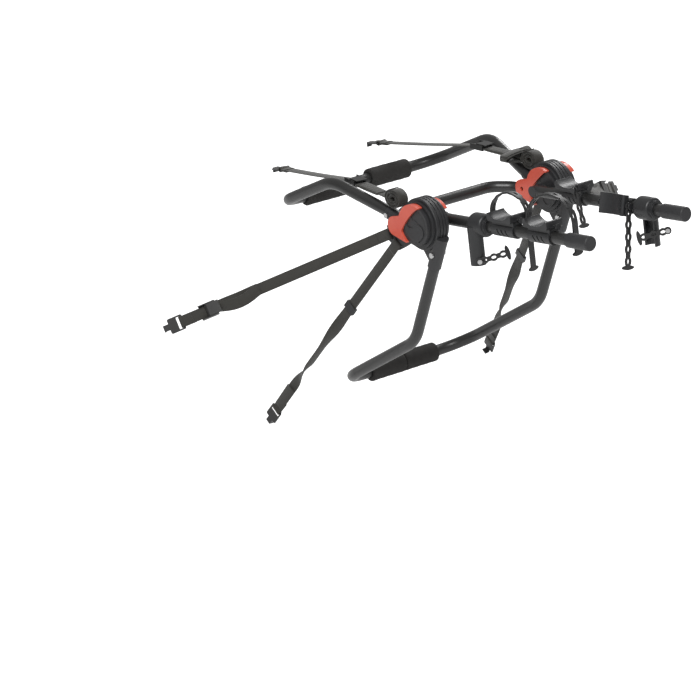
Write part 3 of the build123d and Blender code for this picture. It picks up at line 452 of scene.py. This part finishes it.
# %% [markdown]
# ## Strips of webbing
# A strap is a line of points with the direction across the strap at each one. The
# section is a thin rounded rectangle. Smooth curves come from a Catmull-Rom spline
# through a few points.

# %% Strip builder
WEB_WIDE, WEB_THICK = 0.025, 0.0018


def curve_through(points, steps=12):
    """Points along a smooth line through the given ones."""
    knots = [points[0]] + list(points) + [points[-1]]
    line = []
    for a, b, c, d in zip(knots, knots[1:], knots[2:], knots[3:]):
        for step in range(steps):
            t = step / steps
            bend, twist = 2 * a - 5 * b + 4 * c - d, 3 * b - a - 3 * c + d
            line.append(0.5 * ((2 * b) + (c - a) * t + bend * t * t + twist * t ** 3))
    return line + [points[-1]]


def strip(mesh, line, acrosses, wide=WEB_WIDE, thick=WEB_THICK):
    """Sweep a rounded flat section along a line, in mesh, with UVs in metres."""
    layer = mesh.loops.layers.uv.verify()
    half, deep = wide / 2, thick / 2
    section = [
        (-half, -deep * 0.4), (-half + deep, -deep), (0, -deep), (half - deep, -deep), (half, -deep * 0.4),
        (half, deep * 0.4), (half - deep, deep), (0, deep), (-half + deep, deep), (-half, deep * 0.4),
    ]
    rings, lengths, travelled = [], [], 0.0
    for number, (point, over) in enumerate(zip(line, acrosses)):
        before, after = line[max(number - 1, 0)], line[min(number + 1, len(line) - 1)]
        run = (after - before).normalized()
        over = (over - run * over.dot(run)).normalized()
        face = run.cross(over)
        if number:
            travelled += (point - line[number - 1]).length
        lengths.append(travelled)
        rings.append([mesh.verts.new(point + over * u + face * v) for u, v in section])
    for number in range(len(rings) - 1):
        for place in range(len(section)):
            other = (place + 1) % len(section)
            first, second = rings[number], rings[number + 1]
            face = mesh.faces.new((first[place], first[other], second[other], second[place]))
            face.smooth = True
            spots = (
                (lengths[number], section[place][0]),
                (lengths[number], section[other][0]),
                (lengths[number + 1], section[other][0]),
                (lengths[number + 1], section[place][0]),
            )
            for loop, spot in zip(face.loops, spots):
                loop[layer].uv = spot
    mesh.faces.new(reversed(rings[0]))
    mesh.faces.new(rings[-1])


def finished(mesh, name, slot_name, body, *nodes):
    """Turn a bmesh into a dressed piece that stands for CAD nodes and rides on a body."""
    bmesh.ops.recalc_face_normals(mesh, faces=mesh.faces)
    data = bpy.data.meshes.new(name)
    mesh.to_mesh(data)
    mesh.free()
    piece = bpy.data.objects.new(name, data)
    bpy.context.scene.collection.objects.link(piece)
    data.materials.append(FINISHES[slot_name])
    if nodes:
        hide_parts(*nodes)
    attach(piece, body)
    print("made", name, len(data.polygons), "faces")
    return piece


def mirrored(points, side):
    return [Vector((point.x * side, point.y, point.z)) for point in points]


# %% [markdown]
# ## Upper webbing
# Each upper strap leaves its roll at the hub, passes the padded sleeve and the cam
# buckle, and ends in a loop round its hook's bar on the far side of the trunk lid.

# %% Upper webbing
def loop_points(end, run, out, radius, count=10):
    """Points that wrap round a bar at end and come back under the strap."""
    points = []
    for number in range(count + 1):
        angle = math.radians(90 - 250 * number / count)
        points.append(end + run * math.cos(angle) * radius + out * math.sin(angle) * radius)
    return points


def hook_loop(mesh, end, run, over, radius):
    out = over.cross(run).normalized()
    wrapped = loop_points(end, run, out, radius)
    tail = [wrapped[-1] - run * step * 0.006 - out * 0.0004 * step for step in range(1, 5)]
    lead = [end - run * step * 0.006 + out * 0.0012 for step in range(4, 0, -1)]
    line = curve_through(lead + wrapped + tail, 3)
    strip(mesh, line, [over] * len(line), wide=WEB_WIDE)


LOOP_R = 0.0047
ROLL = (191.5, 78.0, -10 + 10.8 * 0.36 + 15.1 + 24 + 0.9)
UPPER_KINK, UPPER_HOOK = (176.0, 258.0, 26.0), (140.0, 548.0, -36.0)
mesh = bmesh.new()
for side in (-1, 1):
    start = row(ROLL[0], ROLL[1] + 25.6, ROLL[2])
    kink, hook = row(*UPPER_KINK), row(*UPPER_HOOK)
    run = (hook - kink).normalized()
    stop = hook - run * 0.006
    sag = Vector((0, 0, -0.0012))
    knots = [start, start.lerp(kink, 0.5), kink - (kink - start) * 0.06]
    knots += [kink + run * 0.01, kink.lerp(stop, 0.5) + sag, stop]
    line = mirrored(curve_through(knots, 16), side)
    over = Vector((1, 0, 0))
    strip(mesh, line, [over] * len(line))
    end, way = mirrored([hook], side)[0], mirrored([run], side)[0]
    hook_loop(mesh, end, way, (over - way * over.dot(way)).normalized(), LOOP_R)
finished(mesh, "upper_webbing", "webbing", "upper_unit", "upper_straps", "upper_rear_straps")

# %% [markdown]
# ## Side and lower webbing
# These four straps leave the slots of the upper plates' ears. The side straps are
# doubled near their cam buckles, where the spare end runs back. The lower straps have
# a keeper, one half twist and a doubled end at the hook.

# %% Side and lower webbing
EAR_X = 193.4 + 6.2 + 1.8
SIDE_SLOT = (EAR_X, 91.0, -44.0)
SIDE_HOOKS = {-1: (584.0, 330.0, -222.0), 1: (655.0, 330.0, -208.0)}
LOWER_SLOT, LOWER_HOOK = (EAR_X, 65.0, -57.0), (313.0, 364.0, -515.0)


def run_frame(slot, hook, side):
    """Start, end, run, across and face of a strap that leaves an ear's slot."""
    start, end = mirrored([row(*slot), row(*hook)], side)
    run = (end - start).normalized()
    over = run.cross(Vector((side, 0, 0))).normalized()
    return start, end, run, over, over.cross(run)


def slot_fold(mesh, start, run, over, side):
    """The webbing's end, folded through the slot of the ear."""
    inward = Vector((-side, 0, 0))
    knots = [start + run * 0.03, start + run * 0.012, start + inward * 0.003, start + inward * 0.0075]
    line = curve_through(knots, 5)
    strip(mesh, line, [over] * len(line), wide=WEB_WIDE * 0.98)


mesh = bmesh.new()
for side in (-1, 1):
    start, end, run, over, face = run_frame(SIDE_SLOT, SIDE_HOOKS[side], side)
    length = (end - start).length
    knots = []
    for share in (0, 0.25, 0.5, 0.75):
        knots.append(start + run * length * share - face * 0.002 * math.sin(math.pi * share))
    knots += [start + run * (length - 0.07), start + run * (length - 0.006)]
    line = curve_through(knots, 14)
    strip(mesh, line, [over] * len(line))
    hook_loop(mesh, end, run, over, LOOP_R)
    slot_fold(mesh, start, run, over, side)
    back = length - 0.083
    spare = []
    for step in range(9):
        spare.append(start + run * (back - 0.012 * step) + face * (0.0024 + 0.0022 * math.sin(1.1 * step)))
    line = curve_through(spare, 6)
    strip(mesh, line, [over] * len(line))
    down = over if over.z < 0 else -over
    bulge = []
    for step in range(9):
        bow = math.sin(math.pi * step / 8)
        bulge.append(start + run * (back - 0.012 * step) + face * (0.0052 + 0.004 * bow) + down * 0.011 * bow)
    line = curve_through(bulge, 8)
    strip(mesh, line, [over + face * 0.35] * len(line))
finished(mesh, "side_webbing", "webbing", "upper_unit", "side_straps")

def eased(share, first, last):
    """0 before first, 1 after last, smooth between."""
    part = min(max((share - first) / (last - first), 0), 1)
    return part * part * (3 - 2 * part)


mesh = bmesh.new()
for side in (-1, 1):
    start, end, run, over, face = run_frame(LOWER_SLOT, LOWER_HOOK, side)
    length = (end - start).length
    count = 120
    line, acrosses = [], []
    for number in range(count + 1):
        share = number / count
        line.append(start + run * (length - 0.006) * share)
        angle = math.pi / 2 * (eased(share, 0.40, 0.64) + eased(share, 0.72, 0.86))
        acrosses.append(over * math.cos(angle) + face * math.sin(angle))
    strip(mesh, line, acrosses)
    hook_loop(mesh, end, run, over, LOOP_R)
    slot_fold(mesh, start, run, over, side)
    double = []
    for step in range(8):
        double.append(start + run * (length - 0.012 - 0.009 * step) + face * (0.0021 + 0.0004 * step))
    line = curve_through(double, 5)
    strip(mesh, line, [over] * len(line))
finished(mesh, "lower_webbing", "webbing", "upper_unit", "lower_straps")

# %% [markdown]
# ## Spare webbing
# The spare length of each upper strap is rolled up over the upper socket, a little
# flattened. On the right a part of it has come out of the roll and lies in long loose
# folds, held by a turn of the strap itself.

# %% Webbing bundles
def roll_up(mesh, centre, turns=7.2, inner=0.0062, outer=0.0232, count=260):
    line = []
    for number in range(count + 1):
        share = number / count
        angle = 2 * math.pi * turns * share
        radius = inner + (outer - inner) * share + 0.0006 * math.sin(angle * 1.3)
        wobble = 0.0012 * math.sin(angle * 0.7)
        deep, high = radius * 1.1 * math.cos(angle), radius * 0.88 * math.sin(angle)
        line.append(centre + Vector((wobble, deep, high)))
    strip(mesh, line, [Vector((1, 0, 0))] * len(line), wide=WEB_WIDE * 0.97)


def loose_folds(mesh, centre, reach, rise, turns=3.4, count=220):
    """Long flat loops, smaller inside, that sag and shift a little from turn to turn."""
    line, acrosses = [], []
    for number in range(count + 1):
        share = number / count
        angle = 2 * math.pi * turns * share
        grow = 0.55 + 0.45 * share
        lift = rise * grow * math.sin(angle) * (1 + 0.25 * math.cos(angle))
        shift = Vector((reach * grow * math.cos(angle), 0.004 * math.sin(angle * 0.31), lift))
        line.append(centre + shift)
        acrosses.append(Vector((0.12 * math.sin(angle * 0.5), 1, 0.2 * math.sin(angle * 0.23 + 0.6))))
    strip(mesh, line, acrosses, wide=WEB_WIDE * 0.97)


def band(mesh, centre, deep, high, count=40):
    """One turn of webbing round a bundle."""
    line = []
    for number in range(count + 3):
        angle = 2 * math.pi * number / count + 0.6
        swell = 1 + 0.04 * number / count
        line.append(centre + Vector((0, deep * swell * math.cos(angle), high * swell * math.sin(angle))))
    strip(mesh, line, [Vector((1, 0, 0.08))] * len(line), wide=WEB_WIDE * 0.9)


mesh = bmesh.new()
for side in (-1, 1):
    roll_up(mesh, row(side * ROLL[0], ROLL[1], ROLL[2]) + Vector((0, 0.002, 0.003)))
FOLDS = row(ROLL[0] - 14, ROLL[1] + 41, ROLL[2] + 3)
loose_folds(mesh, FOLDS, 0.047, 0.0125)
band(mesh, FOLDS + Vector((0.024, 0, 0)), 0.0148, 0.0150)
finished(mesh, "webbing_bundles", "webbing", "upper_unit", "webbing_rolls")

# %% [markdown]
# ## Padded sleeves
# A stitched fabric sleeve with thin padding slides over each upper strap. It swells
# in the middle and is pinched at its ends.

# %% Padded sleeves
def sleeve(mesh, start, run, over, length, wide, thick, steps=40):
    layer = mesh.loops.layers.uv.verify()
    face = run.cross(over)
    rings, spots = [], []
    for number in range(steps + 1):
        share = number / steps
        pinch = 1 - 0.45 * (1 - math.sin(math.pi * share) ** 0.35)
        ripple = 1 + 0.05 * math.sin(14 * share * math.pi)
        ring, row_spots = [], []
        for place in range(24):
            angle = 2 * math.pi * place / 24
            u = wide / 2 * math.copysign(abs(math.cos(angle)) ** 0.6, math.cos(angle))
            v = thick / 2 * pinch * ripple * math.copysign(abs(math.sin(angle)) ** 0.8, math.sin(angle))
            ring.append(mesh.verts.new(start + run * length * share + over * u + face * v))
            row_spots.append((length * share, u))
        rings.append(ring)
        spots.append(row_spots)
    for number in range(steps):
        for place in range(24):
            other = (place + 1) % 24
            first, second = rings[number], rings[number + 1]
            quad = mesh.faces.new((first[place], first[other], second[other], second[place]))
            quad.smooth = True
            near, far = spots[number], spots[number + 1]
            for loop, spot in zip(quad.loops, (near[place], near[other], far[other], far[place])):
                loop[layer].uv = spot
    mesh.faces.new(reversed(rings[0]))
    mesh.faces.new(rings[-1])


mesh = bmesh.new()
for side in (-1, 1):
    start, kink = mirrored([row(ROLL[0], ROLL[1] + 24.0, ROLL[2]), row(*UPPER_KINK)], side)
    run = (kink - start).normalized()
    over = Vector((1, 0, 0))
    over = (over - run * over.dot(run)).normalized()
    sleeve(mesh, start + run * 0.032, run, over, 0.084, 0.0305, 0.0085)
sleeves = finished(mesh, "padded_sleeves", "webbing", "upper_unit", "strap_sleeves")

# %% [markdown]
# ## Foam sleeves
# The pads on the cross tubes are slit foam tubes. Their ends are cut with a rounded
# shoulder, and the foam is slightly dented where it was handled.

# %% Foam sleeves
def foam_tube(mesh, start, length, centre, radius=0.022, hole=0.0129, steps=48, round_count=40):
    shoulder = 0.004
    outline = [(0.0, hole), (0.0, radius - shoulder)]
    outline += [
        (shoulder * (1 - math.cos(t)), radius - shoulder + shoulder * math.sin(t))
        for t in (0.4, 0.8, 1.2, math.pi / 2)
    ]
    outline += [(length * share / steps, radius) for share in range(6, steps - 5)]
    outline += [
        (length - shoulder * (1 - math.cos(t)), radius - shoulder + shoulder * math.sin(t))
        for t in (math.pi / 2, 1.2, 0.8, 0.4)
    ]
    outline += [(length, radius - shoulder), (length, hole)]
    rings = []
    for along, reach in outline:
        ring = []
        for place in range(round_count):
            angle = 2 * math.pi * place / round_count
            dent = 0.00035 * math.sin(3 * angle + 90 * along) * math.sin(150 * along + 1.3)
            slit = -0.0009 * math.exp(-((math.degrees(angle) - 200) / 7) ** 2)
            far = reach + (dent + slit if reach > hole + 0.002 else 0)
            spot = Vector((start + along, far * math.cos(angle), far * math.sin(angle)))
            ring.append(mesh.verts.new(centre + spot))
        rings.append(ring)
    for first, second in zip(rings, rings[1:] + rings[:1]):
        for place in range(round_count):
            other = (place + 1) % round_count
            mesh.faces.new((first[place], first[other], second[other], second[place])).smooth = True


LOWER_FOAM = (0.0003, 0.094)
UPPER_FOAM = (0.035, 0.112)
mesh = bmesh.new()
foam_tube(mesh, LOWER_FOAM[0], LOWER_FOAM[1], row(0, 306, -466))
foam_tube(mesh, -LOWER_FOAM[0] - LOWER_FOAM[1], LOWER_FOAM[1], row(0, 306, -466))
lower_foam = finished(mesh, "lower_foam", "foam", "lower_unit", "lower_foam_sleeves")

mesh = bmesh.new()
foam_tube(mesh, UPPER_FOAM[0], UPPER_FOAM[1], row(0, 466, -77))
foam_tube(mesh, -UPPER_FOAM[0] - UPPER_FOAM[1], UPPER_FOAM[1], row(0, 466, -77))
upper_foam = finished(mesh, "upper_foam", "foam", "upper_unit", "upper_foam_sleeves")

# %% [markdown]
# ## Faces of the hubs
# Each outer cap has a raised S on its face: a plate with one half round and an edge that
# swings through the middle. On the other side a thin black crescent plate lies on the face
# along the rim. It is painted shade that stands in for the shade inside a narrow slot.

# %% Hub faces
FACE_X, FACE_R, FACE_DEEP = 208.6, 34.0, 1.8


def plate(mesh, outline, side, low, high):
    """A flat plate across X between two depths, its outline as (y, z) in millimetres."""
    near = [mesh.verts.new(row(side * low, y, z)) for y, z in outline]
    far = [mesh.verts.new(row(side * high, y, z)) for y, z in outline]
    mesh.faces.new(near)
    mesh.faces.new(list(reversed(far)))
    for number in range(len(outline)):
        other = (number + 1) % len(outline)
        mesh.faces.new((near[number], far[number], far[other], near[other]))


def swing(radius, lean, count=24):
    """Half a disc whose straight side is an S of two half rounds."""
    points = [(radius, math.pi * step / count) for step in range(count + 1)]
    outline = [(far * math.cos(turn), far * math.sin(turn)) for far, turn in points]
    half = radius / 2
    for step in range(1, count):
        turn = math.pi - math.pi * step / count
        outline.append((-half + half * math.cos(turn), half * math.sin(turn)))
    for step in range(count):
        turn = math.pi + math.pi * step / count
        outline.append((half + half * math.cos(turn), half * math.sin(turn)))
    cosine, sine = math.cos(lean), math.sin(lean)
    return [(y * cosine - z * sine, y * sine + z * cosine) for y, z in outline]


def crescent(radius, wide, first, last, count=24):
    turns = [first + (last - first) * step / count for step in range(count + 1)]
    outer = [(radius * math.cos(turn), radius * math.sin(turn)) for turn in turns]
    near = radius - wide
    return outer + [(near * math.cos(turn), near * math.sin(turn)) for turn in reversed(turns)]


mesh = bmesh.new()
for side in (-1, 1):
    plate(mesh, swing(FACE_R, math.radians(215)), side, FACE_X - 0.4, FACE_X + FACE_DEEP)
finished(mesh, "hub_face_reliefs", "hub_plastic", "lower_unit")
# Painted shade: a thin black plate, just proud of the cap face, stands in for the shade inside the slot along
# the rim.
mesh = bmesh.new()
for side in (-1, 1):
    slot_shade_outline = crescent(FACE_R + 4, 3.2, math.radians(60), math.radians(200))
    plate(mesh, slot_shade_outline, side, FACE_X - 0.4, FACE_X + 0.15)
finished(mesh, "hub_face_slot_shade", "ladder_rubber", "lower_unit")
